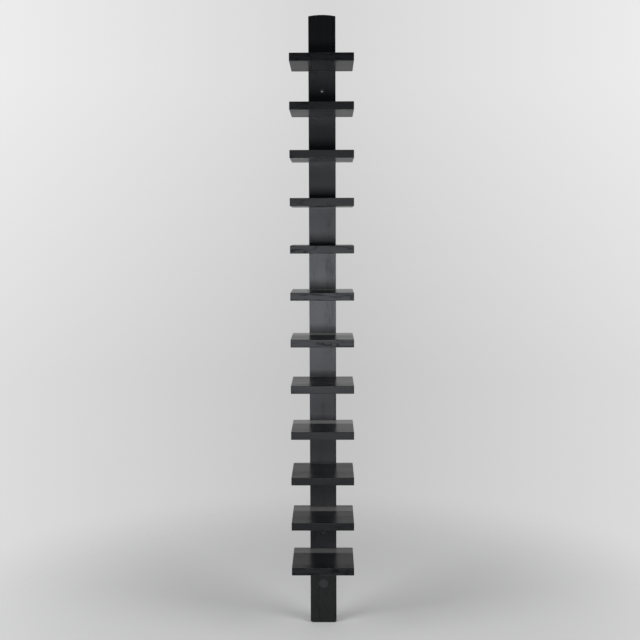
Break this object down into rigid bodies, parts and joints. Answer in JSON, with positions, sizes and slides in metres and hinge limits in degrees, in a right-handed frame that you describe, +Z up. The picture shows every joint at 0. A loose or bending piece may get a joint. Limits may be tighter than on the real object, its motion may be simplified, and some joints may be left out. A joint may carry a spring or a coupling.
{
  "type": "spine bookshelf",
  "caption": "Wall-fixed spine bookshelf: an upright black wooden board with square shelves housed in its face and screwed from behind, for books stacked flat.",
  "frame": {"origin": "the middle of the spine's foot, on the floor: mid-width and mid-thickness of the spine, so the wall plane is at y = +12.5 mm", "axes": "+Z up along the spine, +Y into the wall, so the shelves reach towards -Y; +X to the right for someone who faces the shelves"},
  "size_m": [0.2, 0.215, 2.0365],
  "materials": {
    "spine_lacquer": "satin black lacquer, upright grain",
    "shelf_lacquer": "satin black lacquer, grain from side to side",
    "screw_steel": "zinc plated",
    "disc_metal": "satin dark grey, bare"
  },
  "bodies": {
    "root": {"spine_board": "spine_lacquer", "blank_disc": "disc_metal", "shelf_01": "shelf_lacquer", "shelf_02": "shelf_lacquer", "shelf_03": "shelf_lacquer", "shelf_04": "shelf_lacquer", "shelf_05": "shelf_lacquer", "shelf_06": "shelf_lacquer", "shelf_07": "shelf_lacquer", "shelf_08": "shelf_lacquer", "shelf_09": "shelf_lacquer", "shelf_10": "shelf_lacquer", "shelf_11": "shelf_lacquer", "shelf_12": "shelf_lacquer", "shelf_01_screws": "screw_steel", "shelf_02_screws": "screw_steel", "shelf_03_screws": "screw_steel", "shelf_04_screws": "screw_steel", "shelf_05_screws": "screw_steel", "shelf_06_screws": "screw_steel", "shelf_07_screws": "screw_steel", "shelf_08_screws": "screw_steel", "shelf_09_screws": "screw_steel", "shelf_10_screws": "screw_steel", "shelf_11_screws": "screw_steel", "shelf_12_screws": "screw_steel"}
  },
  "joints": []
}
